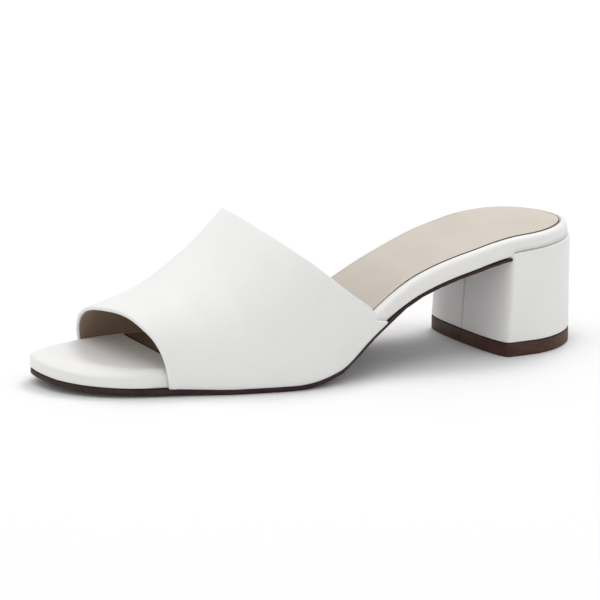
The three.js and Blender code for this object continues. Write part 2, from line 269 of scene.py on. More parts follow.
@dataclass(frozen=True)
class Last:
    """The last and the sole lines that every piece follows, in millimetres."""

    length: float = 238.0
    ball_width: float = 77.0
    waist_width: float = 54.0
    seat_width: float = 59.0
    seat_rise: float = 42.8
    toe_spring: float = 4.2
    toe_tip_offset: float = 10.0
    toe_round_medial: float = 37.0
    toe_round_lateral: float = 41.0
    heel_tip_offset: float = 1.5
    heel_round: float = 28.0
    toe_fullness: float = 2.04
    heel_fullness: float = 1.96
    outsole_thickness: float = 2.2
    clearance: float = 0.3
    origin_across: float = 1.155
    origin_along: float = 119.1
    outline_rows: tuple[OutlineRow, ...] = (
        OutlineRow(0.00, Girth.BALL, 0.385, 0.305),
        OutlineRow(0.10, Girth.BALL, 0.415, 0.345),
        OutlineRow(0.20, Girth.BALL, 0.475, 0.39),
        OutlineRow(0.31, Girth.BALL, 0.51, 0.485),
        OutlineRow(0.43, Girth.BALL, 0.465, 0.54),
        OutlineRow(0.56, Girth.WAIST, 0.54, 0.60),
        OutlineRow(0.67, Girth.WAIST, 0.515, 0.485),
        OutlineRow(0.78, Girth.SEAT, 0.51, 0.49),
        OutlineRow(0.90, Girth.SEAT, 0.52, 0.475),
        OutlineRow(1.00, Girth.SEAT, 0.515, 0.44),
    )
    profile_rows: tuple[ProfileRow, ...] = (
        ProfileRow(0.00, 1.0, 0.0),
        ProfileRow(0.025, 0.70, 0.0),
        ProfileRow(0.08, 0.47, 0.0),
        ProfileRow(0.18, 0.27, 0.0),
        ProfileRow(0.31, 0.0, 0.0),
        ProfileRow(0.40, 0.0, 0.0),
        ProfileRow(0.49, 0.0, 0.076),
        ProfileRow(0.58, 0.0, 0.39),
        ProfileRow(0.67, 0.0, 0.66),
        ProfileRow(0.76, 0.0, 0.845),
        ProfileRow(0.86, 0.0, 0.963),
        ProfileRow(1.00, 0.0, 1.0),
    )

    def curve(self, rows: Sequence, read: Callable) -> StationCurve:
        """Curve through one column of a table whose rows hold their place as a share."""
        return StationCurve([row.along * self.length for row in rows], [read(row) for row in rows])

    @cached_property
    def medial_width(self) -> StationCurve:
        """Half width on the medial side."""
        return self.curve(self.outline_rows, lambda row: row.medial * getattr(self, row.of.value))

    @cached_property
    def lateral_width(self) -> StationCurve:
        """Half width on the lateral side."""
        return self.curve(self.outline_rows, lambda row: row.lateral * getattr(self, row.of.value))

    @cached_property
    def underside(self) -> StationCurve:
        """Height of the footbed's underside above the floor."""
        tread = self.outsole_thickness + self.clearance
        return self.curve(
            self.profile_rows,
            lambda row: tread + row.spring * self.toe_spring + row.rise * self.seat_rise,
        )

    def middle(self, along: Array) -> Array:
        """Middle line between the two rounded ends."""
        return -self.toe_tip_offset + (self.toe_tip_offset + self.heel_tip_offset) * along / self.length

    def edge(self, along: Array, side: Array) -> Array:
        """Edge of the footbed across the shoe.

        Args:
            along: Places along the shoe.
            side: 1 for the lateral side and -1 for the medial side.

        Returns:
            The edge's distance from the straight line of the last, positive to the lateral side.
        """
        straight = np.where(side > 0, self.lateral_width(along), -self.medial_width(along))
        toe_radius = np.where(side > 0, self.toe_round_lateral, self.toe_round_medial)
        toe = end_round(along, toe_radius, self.toe_fullness)
        heel = end_round(self.length - along, self.heel_round, self.heel_fullness)
        middle = self.middle(along)
        return middle + (straight - middle) * toe * heel

    def outline(self, places: Array, widen: Widening) -> Array:
        """Closed outline of the sole in plan, lateral side first and then back along the medial.

        Args:
            places: Places along the shoe from tip to tip.
            widen: How far the edge stands out at a place and a side.

        Returns:
            The outline's points, across and along.
        """
        along = np.concatenate([places, places[-2:0:-1]])
        side = np.concatenate([np.ones(len(places)), -np.ones(len(places) - 2)])
        between = (along > places[0]) & (along < places[-1])
        across = self.edge(along, side) + np.where(between, side * widen(along, side), 0.0)
        return np.stack([across, along], axis=1)

    def squared(
        self, plan: Array, places: Array, ends: tuple[float, float], lean: Array
    ) -> Array:
        """Slides an inset outline's points along it until pairs lie in line across the shoe.

        Args:
            plan: The inset outline, made over the same places as outline.
            places: Places along the shoe from tip to tip.
            ends: Distance from each tip over which the slide comes in.
            lean: How much farther back each pair's line lies for a step to the lateral side.

        Returns:
            The outline with each point at its own place along the shoe, but for the two ends.
        """
        tip = len(places) - 1
        share = smooth_step(places, ends[0] * 0.5, ends[0])
        share *= smooth_step(self.length - places, ends[1] * 0.5, ends[1])
        halves = []
        for half in (plan[: tip + 1], np.vstack([plan[:1], plan[:tip - 1:-1]])):
            along = half[:, 1] + share * (places - half[:, 1])
            across = np.interp(along, half[:, 1], half[:, 0])
            along = along + share * lean * across
            across = np.interp(along, half[:, 1], half[:, 0])
            across = np.where(share > 0.0, across, half[:, 0])
            halves.append(np.stack([across, along], axis=1))
        return np.vstack([halves[0], halves[1][-2:0:-1]])

    def raised(self, plan: Array, height: float | Array) -> Array:
        """Points of a plan at a height above the footbed's underside."""
        return np.column_stack([plan, self.underside(plan[:, 1]) + height])

    def in_frame(self, points: Array) -> Array:
        """Points in the shoe's own millimetres as metres in the model's frame."""
        moved = points - np.array([self.origin_across, self.origin_along, 0.0])
        return moved * MM


def no_widening(along: Array, side: Array) -> Array:
    """Leaves an outline as it is."""
    return np.zeros_like(along)


class Cap(Enum):
    """How the two end rings of a loft are closed."""

    TIP_TO_TIP = 0
    CUT_FRONT = 1


def placed(name: str, data: bpy.types.ID) -> bpy.types.Object:
    """New object at the origin of the scene that carries this mesh, light or camera."""
    made = bpy.data.objects.new(name, data)
    bpy.context.scene.collection.objects.link(made)
    return made


def finished_mesh(carrier: bpy.types.Object) -> bpy.types.Mesh:
    """Plain mesh of what an object's modifiers make."""
    bpy.context.view_layer.update()
    graph = bpy.context.evaluated_depsgraph_get()
    return bpy.data.meshes.new_from_object(carrier.evaluated_get(graph))


class RingLoft:
    """Closed mesh through rings with equal counts, whose faces point outwards."""

    def __init__(self, rings: Array, cap: Cap = Cap.TIP_TO_TIP) -> None:
        """Takes the rings.

        Args:
            rings: Array of rings, points and coordinates, in metres.
            cap: How opposite points of the end rings pair up.
        """
        self.rings = rings
        self.cap = cap
        self.masks: dict[str, Array] = {}

    def mask(self, name: str, values: Array) -> "RingLoft":
        """Adds a named value for each point of each ring, which a finish can read."""
        self.masks[name] = np.broadcast_to(values, self.rings.shape[:2])
        return self

    def cap_faces(self, ring: int) -> list[list[int]]:
        """Closes one end of the loft.

        Args:
            ring: Number of the end ring.

        Returns:
            Strips between opposite points of that ring, as numbers of points.
        """
        count = self.rings.shape[1]
        shift = 0 if self.cap is Cap.TIP_TO_TIP else 1
        pairs = count // 2
        faces = []
        for i in range(pairs):
            far = [(count - i - shift) % count, (count - i - 1 - shift) % count]
            corners = list(dict.fromkeys([i, i + 1, far[1], far[0]]))
            faces.append([ring * count + corner for corner in corners])
        return faces

    def faces(self) -> list[list[int]]:
        """All faces, turned so that the closed mesh encloses a positive volume."""
        turns, count = self.rings.shape[:2]
        low = np.arange((turns - 1) * count).reshape(turns - 1, count)
        side = np.roll(low, -1, axis=1)
        walls = np.stack([low, side, side + count, low + count], axis=-1)
        made = walls.reshape(-1, 4).tolist()
        made += [face[::-1] for face in self.cap_faces(0)]
        made += self.cap_faces(turns - 1)
        points = self.rings.reshape(-1, 3)
        volume = 0.0
        for face in made:
            a = points[face[0]]
            for b, c in zip(face[1:], face[2:]):
                volume += float(np.dot(a, np.cross(points[b], points[c])))
        return [face[::-1] for face in made] if volume < 0.0 else made

    def build(self, name: str) -> bpy.types.Object:
        """Makes the object, smooth shaded, with its masks as point attributes.

        Args:
            name: Name of the object.

        Returns:
            The object at the origin, with its place in its mesh.
        """
        mesh = bpy.data.meshes.new(name)
        mesh.from_pydata(self.rings.reshape(-1, 3).tolist(), [], self.faces())
        mesh.polygons.foreach_set("use_smooth", [True] * len(mesh.polygons))
        for label, values in self.masks.items():
            attribute = mesh.attributes.new(label, "FLOAT", "POINT")
            attribute.data.foreach_set("value", np.ascontiguousarray(values, np.float32).ravel())
        mesh.validate()
        return placed(name, mesh)


class Wire:
    """A node's output that takes part in Python arithmetic."""

    def __init__(self, tree: "ShaderTree", socket: bpy.types.NodeSocket) -> None:
        """Wraps one output socket of a shader tree."""
        self.tree = tree
        self.socket = socket

    def __add__(self, other: "Wire | float") -> "Wire":
        """Sum."""
        return self.tree.maths("ADD", self, other)

    def __mul__(self, other: "Wire | float") -> "Wire":
        """Product."""
        return self.tree.maths("MULTIPLY", self, other)

    __radd__ = __add__
    __rmul__ = __mul__

    def eased(self, low: float, high: float) -> "Wire":
        """Eases from 0 at low to 1 at high."""
        return self.tree.add(
            "ShaderNodeMapRange",
            {"interpolation_type": "SMOOTHSTEP"},
            {"Value": self, "From Min": low, "From Max": high},
        )


class ShaderTree:
    """Node tree of one material, written as expressions."""

    def __init__(self, name: str) -> None:
        """Starts a material with an empty tree."""
        self.material = bpy.data.materials.new(name)
        self.material.use_nodes = True
        self.nodes = self.material.node_tree.nodes
        self.nodes.clear()
        self.links = self.material.node_tree.links

    def add(
        self, kind: str, settings: dict | None = None, sockets: dict | None = None
    ) -> Wire | None:
        """Adds one node.

        Args:
            kind: The node's type.
            settings: Properties of the node, set first.
            sockets: Values or wires of its input sockets, by name or number.

        Returns:
            The node's first output that is in use, if it has one.
        """
        node = self.nodes.new(kind)
        for key, value in (settings or {}).items():
            setattr(node, key, value)
        for key, value in (sockets or {}).items():
            socket = self.find_socket(node, key)
            if isinstance(value, Wire):
                self.links.new(value.socket, socket)
            elif isinstance(value, tuple) and len(value) == 3 and socket.type == "RGBA":
                socket.default_value = (*value, 1.0)
            else:
                socket.default_value = value
        outputs = [socket for socket in node.outputs if socket.enabled]
        return Wire(self, outputs[0]) if outputs else None

    @staticmethod
    def find_socket(node: bpy.types.Node, key: str | int) -> bpy.types.NodeSocket:
        """Input of a node that is in use, by its name or number."""
        if isinstance(key, int):
            return node.inputs[key]
        return next(socket for socket in node.inputs if socket.enabled and socket.name == key)

    def maths(self, operation: str, a: "Wire | float", b: "Wire | float") -> Wire:
        """Adds one Math node."""
        return self.add("ShaderNodeMath", {"operation": operation}, {0: a, 1: b})

    def mixed(self, factor: "Wire | float", a: "Wire | Colour", b: "Wire | Colour") -> Wire:
        """Mixes two colours, a where the factor is 0 and b where it is 1."""
        return self.add(
            "ShaderNodeMix", {"data_type": "RGBA"}, {"Factor": factor, "A": a, "B": b}
        )

    def place(self, scale: tuple[float, float, float] = (1.0, 1.0, 1.0)) -> Wire:
        """The point's own place in millimetres, stretched as asked."""
        point = self.add("ShaderNodeTexCoord")
        point = Wire(self, point.socket.node.outputs["Object"])
        size = tuple(value / MM for value in scale)
        return self.add("ShaderNodeVectorMath", {"operation": "MULTIPLY"}, {0: point, 1: size})

    def noise(self, point: Wire, size: float, detail: float = 2.0, rough: float = 0.5) -> Wire:
        """Soft noise whose blobs are about size millimetres across."""
        return self.add(
            "ShaderNodeTexNoise",
            {"normalize": True},
            {"Vector": point, "Scale": 1.0 / size, "Detail": detail, "Roughness": rough},
        )

    def cells(self, point: Wire, size: float) -> Wire:
        """Distance to the nearest of cells about size millimetres across."""
        return self.add(
            "ShaderNodeTexVoronoi", {"feature": "SMOOTH_F1"}, {"Vector": point, "Scale": 1.0 / size}
        )

    def mask(self, name: str) -> Wire:
        """A named value that the mesh carries."""
        node = self.add("ShaderNodeAttribute", {"attribute_name": name}).socket.node
        return Wire(self, node.outputs["Fac"])

    def bump(self, height: Wire, depth: float) -> Wire:
        """Turns a height from 0 to 1 into a relief of that depth in millimetres."""
        sockets = {"Height": height, "Distance": depth * MM, "Strength": 1.0}
        return self.add("ShaderNodeBump", None, sockets)

    def finish(self, sockets: dict) -> bpy.types.Material:
        """Ends the tree in a Principled surface with these socket values and wires."""
        surface = self.add("ShaderNodeBsdfPrincipled", None, sockets)
        self.add("ShaderNodeOutputMaterial", None, {"Surface": surface})
        return self.material


@dataclass(frozen=True)
class LeatherFinish:
    """Smooth finished leather or leather board with a fine grain."""

    name: str
    colour: Colour
    deep_colour: Colour
    roughness: float = 0.42
    grain_size: float = 0.55
    grain_depth: float = 0.035
    pore_size: float = 0.16
    mottle_size: float = 22.0
    mottle_amount: float = 0.35
    mottle_ease: tuple[float, float] = (0.35, 0.7)
    cell_ease: tuple[float, float] = (0.15, 0.75)
    cell_darkening: float = 0.10
    mottle_rough: float = 0.05
    pore_rough: float = 0.08
    groove_rough: float = 0.25
    gloss: float = 0.5
    # Named mask and its colour: a real darker seam on the heel, painted shade on the footbed and the
    # sock.
    groove: str | None = None
    seam_and_shade_colour: Colour = (0.05, 0.03, 0.02)

    def build(self) -> bpy.types.Material:
        """Makes the material.

        Returns:
            A material whose colour, gloss and relief vary a little over the surface.
        """
        tree = ShaderTree(self.name)
        point = tree.place()
        mottle = tree.noise(point, self.mottle_size, detail=3.0, rough=0.55)
        mottle = mottle.eased(*self.mottle_ease)
        colour = tree.mixed(mottle * self.mottle_amount, self.colour, self.deep_colour)
        warp = tree.noise(point, self.grain_size * 2.5, detail=1.0)
        cells = tree.cells(point, self.grain_size).eased(*self.cell_ease)
        pores = tree.noise(point, self.pore_size, detail=2.0, rough=0.6)
        relief = cells * -0.6 + warp * 0.5 + pores * 0.35
        colour = tree.mixed(cells * self.cell_darkening, colour, self.deep_colour)
        rough = mottle * self.mottle_rough + pores * self.pore_rough + (self.roughness - 0.06)
        # The named mask mixes in a second colour: the heel's real darker seam, and painted shade in the
        # footbed's groove and on the sock under the band.
        if self.groove is not None:
            groove = tree.mask(self.groove)
            colour = tree.mixed(groove, colour, self.seam_and_shade_colour)
            rough = rough + groove * self.groove_rough
        return tree.finish(
            {
                "Base Color": colour,
                "Roughness": rough,
                "Specular IOR Level": self.gloss,
                "Normal": tree.bump(relief, self.grain_depth),
            }
        )


@dataclass(frozen=True)
class SoleFinish:
    """Stained and lightly burnished sole leather or moulded rubber, with fine streaks."""

    name: str
    colour: Colour
    streak_colour: Colour
    streak_stretch: tuple[float, float, float] = (1.0, 0.12, 1.6)
    streak_size: float = 0.9
    cloud_size: float = 9.0
    pit_size: float = 0.35
    share_ease: tuple[float, float] = (0.42, 0.78)
    roughness: float = 0.5
    pit_rough: float = 0.2
    gloss: float = 0.3
    relief_depth: float = 0.05

    def build(self) -> bpy.types.Material:
        """Makes the material.

        Returns:
            A dark material with fine streaks along the edge and scattered fine pits.
        """
        tree = ShaderTree(self.name)
        stretched, point = tree.place(self.streak_stretch), tree.place()
        streaks = tree.noise(stretched, self.streak_size, detail=4.0, rough=0.6)
        cloud = tree.noise(point, self.cloud_size)
        pits = tree.noise(point, self.pit_size, rough=0.7)
        share = (streaks * 0.7 + cloud * 0.5).eased(*self.share_ease)
        return tree.finish(
            {
                "Base Color": tree.mixed(share, self.colour, self.streak_colour),
                "Roughness": pits * self.pit_rough + (self.roughness - self.pit_rough / 2.0),
                "Specular IOR Level": self.gloss,
                "Normal": tree.bump(streaks * 0.5 + pits * 0.5, self.relief_depth),
            }
        )


WHITE = LeatherFinish("white_leather", (0.82, 0.818, 0.81), (0.785, 0.78, 0.77))
# Painted shade: the footbed's sunk recess round the sock is coloured near-black, where the groove lies
# in shade.
RIM_WHITE = LeatherFinish(
    "footbed_white_leather",
    (0.82, 0.815, 0.805),
    (0.785, 0.777, 0.765),
    groove="groove",
    seam_and_shade_colour=(0.045, 0.03, 0.022),
)
HEEL_WHITE = LeatherFinish(
    "heel_white_leather",
    (0.82, 0.815, 0.805),
    (0.785, 0.777, 0.765),
    groove="seam",
    seam_and_shade_colour=(0.62, 0.60, 0.57),
)
# Painted shade: the sock lining is darkened towards its front, under the band, where shade falls.
BEIGE = LeatherFinish(
    "beige_lining_leather",
    (0.60, 0.545, 0.48),
    (0.52, 0.465, 0.40),
    roughness=0.6,
    grain_size=0.4,
    grain_depth=0.03,
    gloss=0.3,
    groove="under_band_shade",
    seam_and_shade_colour=(0.19, 0.13, 0.09),
)
# Painted shade: the band lining, beige like the sock, is coloured dark brown to stand in for the shade
# inside the band.
SHADED_LINING = LeatherFinish(
    "band_lining_leather",
    (0.34, 0.255, 0.19),
    (0.26, 0.19, 0.14),
    roughness=0.7,
    grain_size=0.35,
    grain_depth=0.04,
    gloss=0.2,
)
# The sock's cut edge, coloured near-black: partly the edge's own dark colour, partly painted shade of
# the groove it lies in.
CUT_EDGE_AND_SHADE = LeatherFinish(
    "sock_cut_edge_and_shade",
    (0.06, 0.038, 0.028),
    (0.035, 0.022, 0.016),
    roughness=0.8,
    grain_size=0.3,
    gloss=0.2,
)
SOLE_BROWN = SoleFinish("outsole_brown", (0.022, 0.008, 0.007), (0.042, 0.017, 0.014))
TOP_PIECE_BROWN = SoleFinish(
    "top_piece_brown", (0.045, 0.017, 0.010), (0.086, 0.038, 0.022), roughness=0.55
)


def fit(
    piece: bpy.types.Object, finish: bpy.types.Material, slot: Slot, node: str | None = None
) -> bpy.types.Object:
    """Gives a piece its one material and ties it to the frame.

    Args:
        piece: The piece, whose place is in its mesh.
        finish: Its material.
        slot: The record's material slot.
        node: The CAD node that it stands for, if there is one.

    Returns:
        The same piece.
    """
    piece.data.materials.clear()
    piece.data.materials.append(finish)
    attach(piece, BODY)
    if node is not None:
        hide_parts(node)
    log.info("%s: %d faces, slot %s", piece.name, len(piece.data.polygons), slot.value)
    return piece


@dataclass
class VampBand:
    """The wide hollow band over the foot, with turned edges and its lining."""

    last: Last
    wall: float = 1.8
    lining_thickness: float = 0.45
    lining_gap: float = 0.03
    lining_set_back: float = 0.3
    lining_bevel: float = 0.1
    turned_width: float = 1.0
    turned_slope: float = 0.25
    turned_lift: float = 0.02
    edge_round: float = 0.75
    rise_front: float = 30.0
    rise_back: float = 71.0
    front_lateral: float = 44.9
    front_tip: float = 25.6
    front_medial: float = 29.4
    back_lateral: float = 142.5
    back_crest: float = 88.5
    back_medial: float = 139.5
    fade: float = 14.0
    upright: float = 5.0
    upright_share: float = 3.0 / 22.0
    tuck: float = 0.7
    tuck_height: float = 2.5
    small_turn: float = 0.004
    least_square: float = 0.3
    crease_margin: tuple[float, float] = (1.0, 8.0)
    steps_across: int = 176
    steps_along: int = 72
    round_steps: int = 5
    rows: tuple[BandRow, ...] = (
        BandRow(0.08, 0.0, 0.034, 2.04, 2.05),
        BandRow(0.19, 0.177, 0.002, 1.94, 2.0),
        BandRow(0.295, 0.486, -0.133, 1.78, 2.0),
        BandRow(0.40, 1.0, -0.241, 1.92, 1.95),
    )
    edge_rows: tuple[EdgeRow, ...] = (
        EdgeRow(0.00, 0.0, 0.0),
        EdgeRow(0.07, 0.034, 0.109),
        EdgeRow(0.14, 0.093, 0.337),
        EdgeRow(0.22, 0.215, 0.592),
        EdgeRow(0.30, 0.41, 0.795),
        EdgeRow(0.38, 0.585, 0.929),
        EdgeRow(0.44, 0.73, 0.98),
        EdgeRow(0.50, 0.86, 1.0),
        EdgeRow(0.56, 0.953, 0.986, back_of=Side.MEDIAL),
        EdgeRow(0.64, 1.0, 0.922, Side.MEDIAL, Side.MEDIAL),
        EdgeRow(0.72, 0.955, 0.765, Side.MEDIAL, Side.MEDIAL),
        EdgeRow(0.82, 0.72, 0.435, Side.MEDIAL, Side.MEDIAL),
        EdgeRow(1.00, 0.0, 0.0, Side.MEDIAL, Side.MEDIAL),
    )
    creases: tuple[Crease, ...] = (
        Crease((0.17, 0.30), (0.43, 0.42), 4.2, 0.22),
        Crease((0.13, 0.52), (0.36, 0.66), 5.0, 0.20),
        Crease((0.60, 0.40), (0.86, 0.34), 4.6, 0.20),
    )

    def __post_init__(self) -> None:
        """Prepares the curves through the band's tables."""
        bases = {
            Side.LATERAL: (self.front_lateral, self.back_lateral),
            Side.MEDIAL: (self.front_medial, self.back_medial),
        }
        turns = [row.turn for row in self.edge_rows]
        fronts, backs = [], []
        for row in self.edge_rows:
            base = bases[row.front_of][0]
            fronts.append(base + (self.front_tip - base) * row.front)
            base = bases[row.back_of][1]
            backs.append(base + (self.back_crest - base) * row.back)
        self.front = StationCurve(turns, fronts)
        self.back = StationCurve(turns, backs)
        rise = self.rise_back - self.rise_front
        self.height = self.last.curve(self.rows, lambda row: self.rise_front + rise * row.height)
        self.crest = self.last.curve(self.rows, lambda row: row.crest * self.last.ball_width)
        self.full_lateral = self.last.curve(self.rows, lambda row: row.full_lateral)
        self.full_medial = self.last.curve(self.rows, lambda row: row.full_medial)

    def clasp(self, along: Array, side: Array) -> Array:
        """Where the band clasps the footbed.

        Args:
            along: Places along the shoe.
            side: 1 for the lateral side and -1 for the medial side.

        Returns:
            One between the band's two ends, falling to nothing past them.
        """
        front = np.where(side > 0, self.front_lateral, self.front_medial)
        back = np.where(side > 0, self.back_lateral, self.back_medial)
        entering = smooth_step(along, front - self.fade, front)
        return entering - smooth_step(along, back, back + self.fade)

    def section(self, turn: Array) -> tuple[Array, Array, Array]:
        """Splits a turn into its side, its upright stretch and its angle over the foot.

        Args:
            turn: 0 at the lateral base, one half at the crest and 1 at the medial base.

        Returns:
            The side, the share of the upright stretch and the angle.
        """
        side = np.where(turn <= 0.5, 1.0, -1.0)
        from_base = 1.0 - np.abs(2.0 * turn - 1.0)
        upright = np.minimum(1.0, from_base / self.upright_share)
        over = np.maximum(0.0, (from_base - self.upright_share) / (1.0 - self.upright_share))
        return side, upright, math.pi / 2.0 * over

    def face(self, along: Array, turn: Array) -> Array:
        """Outer face of the band.

        Args:
            along: Places along the shoe.
            turn: Places over the foot, as section takes them.

        Returns:
            Points of the face, in the shoe's own millimetres.
        """
        side, upright, angle = self.section(turn)
        edge = self.last.edge(along, side) + side * (self.last.clearance + self.wall)
        foot = self.last.underside(along) + self.upright * upright
        above_base = self.upright * upright / self.tuck_height
        tuck = self.tuck * np.maximum(0.0, 1.0 - above_base) ** 2
        power = 2.0 / np.where(side > 0, self.full_lateral(along), self.full_medial(along))
        crest = self.crest(along)
        reach = edge - side * tuck - crest
        across = crest + reach * np.maximum(np.cos(angle), 0.0) ** power
        height = foot + (self.height(along) - foot) * np.sin(angle) ** power
        return np.stack([across, along, height], axis=-1)

    def normal(self, along: Array, turn: Array) -> Array:
        """Outward normal of the outer face.

        Args:
            along: Places along the shoe.
            turn: Places over the foot.

        Returns:
            Unit vectors.
        """
        turn = np.clip(turn, self.small_turn, 1.0 - self.small_turn)
        ahead, behind = turn + self.small_turn, turn - self.small_turn
        across = self.face(along, ahead) - self.face(along, behind)
        length = self.face(along + 1.0, turn) - self.face(along - 1.0, turn)
        normal = np.cross(length, across)
        return normal / np.linalg.norm(normal, axis=-1, keepdims=True)

    def slant(self, turn: Array, edge: StationCurve) -> Array:
        """How much longer a step along the shoe is than the same step square to an edge.

        Args:
            turn: Places over the foot.
            edge: The front or the back edge.

        Returns:
            The ratio at each place.
        """
        small = self.small_turn / 2.0
        ahead, behind = np.clip(turn + small, 0.0, 1.0), np.clip(turn - small, 0.0, 1.0)
        run = self.face(edge(ahead), ahead) - self.face(edge(behind), behind)
        run /= np.linalg.norm(run, axis=-1, keepdims=True)
        step = self.face(edge(turn) + 0.5, turn) - self.face(edge(turn) - 0.5, turn)
        square = np.linalg.norm(np.cross(step, run), axis=-1)
        return 1.0 / np.maximum(square, self.least_square)

    def between_edges(self, place: tuple[float, float]) -> Array:
        """Finds an end of a crease.

        Args:
            place: Its turn and its share of the way from the front edge to the back.

        Returns:
            The point of the smooth face there.
        """
        turn = np.array(place[0])
        front, back = self.front(turn), self.back(turn)
        return self.face(front + (back - front) * place[1], turn)

    def trough(self, along: Array, turn: Array) -> Array:
        """Depth of the creases below the smooth face.

        Args:
            along: Places along the shoe.
            turn: Places over the foot.

        Returns:
            The depth at each point, nothing close to the band's edges.
        """
        near, far = self.crease_margin
        front, back = self.front(turn), self.back(turn)
        here = self.face(along, turn)
        inside = smooth_step(along, front + near, front + far)
        inside *= 1.0 - smooth_step(along, back - far, back - near)
        depth = np.zeros_like(along)
        for crease in self.creases:
            width = crease.width
            start, end = self.between_edges(crease.start), self.between_edges(crease.end)
            run = end - start
            share = np.clip(((here - start) @ run) / (run @ run), 0.0, 1.0)
            middle = 4.0 * share * (1.0 - share)
            nearest = start + share[..., None] * run
            away = here[..., 1] - nearest[..., 1] + middle * width * crease.bow
            ended = (share <= 0.0) | (share >= 1.0)
            past = np.where(ended, np.linalg.norm(here - nearest, axis=-1), 0.0)
            kept = hump(past, 0.0, crease.fade * width)
            ridge = hump(away, -crease.ridge_place * width, crease.ridge_width * width)
            shape = hump(away, 0.0, width) - crease.ridge * ridge
            deep = crease.end_depth + (1.0 - crease.end_depth) * middle
            depth = depth + crease.depth * shape * kept * deep
        return depth * inside

    def wrap(self, profile: Steps, inner: Steps) -> RingLoft:
        """Closed strip of the band from one base over the foot to the other.

        Args:
            profile: Distances in from the edge and depths below the face round the turned edge,
                from the outer face to the inner.
            inner: The same along the inner face, going in from the edge.

        Returns:
            The loft.
        """
        turn = np.linspace(0.0, 1.0, self.steps_across + 1)
        front, back = self.front(turn), self.back(turn)
        slant_front, slant_back = self.slant(turn, self.front), self.slant(turn, self.back)

        def strip(distance: float, depth: float) -> list[tuple[Array, float]]:
            """Columns from the front edge to the back edge, at one depth below the face."""
            start = front + slant_front * distance
            end = back - slant_back * distance
            shares = np.arange(1, self.steps_along) / self.steps_along
            return [(start + (end - start) * share, depth) for share in shares]

        turned = [*profile, *inner]
        columns = strip(*profile[0])
        columns += [(back - slant_back * distance, depth) for distance, depth in turned]
        columns += reversed(strip(*inner[-1]))
        columns += [(front + slant_front * distance, depth) for distance, depth in reversed(turned)]
        along = np.stack([place for place, _ in columns], axis=1)
        turns = np.broadcast_to(turn[:, None], along.shape)
        depth = np.array([depth for _, depth in columns]) + self.trough(along, turns)
        rings = self.face(along, turns) - depth[..., None] * self.normal(along, turns)
        return RingLoft(self.last.in_frame(rings))

    def build_shell(self, finish: bpy.types.Material) -> bpy.types.Object:
        """Outer leather of the band with its edges turned in.

        Args:
            finish: The material.

        Returns:
            The dressed piece.
        """
        rounded = quarter_round(self.edge_round, self.round_steps)
        profile = rounded + [(height, self.wall - inset) for inset, height in rounded]
        under_lining = self.wall - self.lining_thickness - self.lining_gap
        inner = [
            (self.turned_width, self.wall - self.turned_lift),
            (self.turned_width + self.turned_slope, under_lining),
        ]
        piece = self.wrap(profile, inner).build("band_shell")
        return fit(piece, finish, Slot.BAND, "vamp_band")

    def build_lining(self, finish: bpy.types.Material) -> bpy.types.Object:
        """Thin lining inside the band, set back behind the turned edges.

        Args:
            finish: The material.

        Returns:
            The dressed piece.
        """
        edge = self.turned_width + self.lining_set_back
        under = self.wall - self.lining_thickness
        profile = [(edge, under), (edge, self.wall - self.lining_bevel)]
        inner = [(edge + self.lining_bevel, self.wall)]
        piece = self.wrap(profile, inner).build("band_lining")
        return fit(piece, finish, Slot.SOCK)


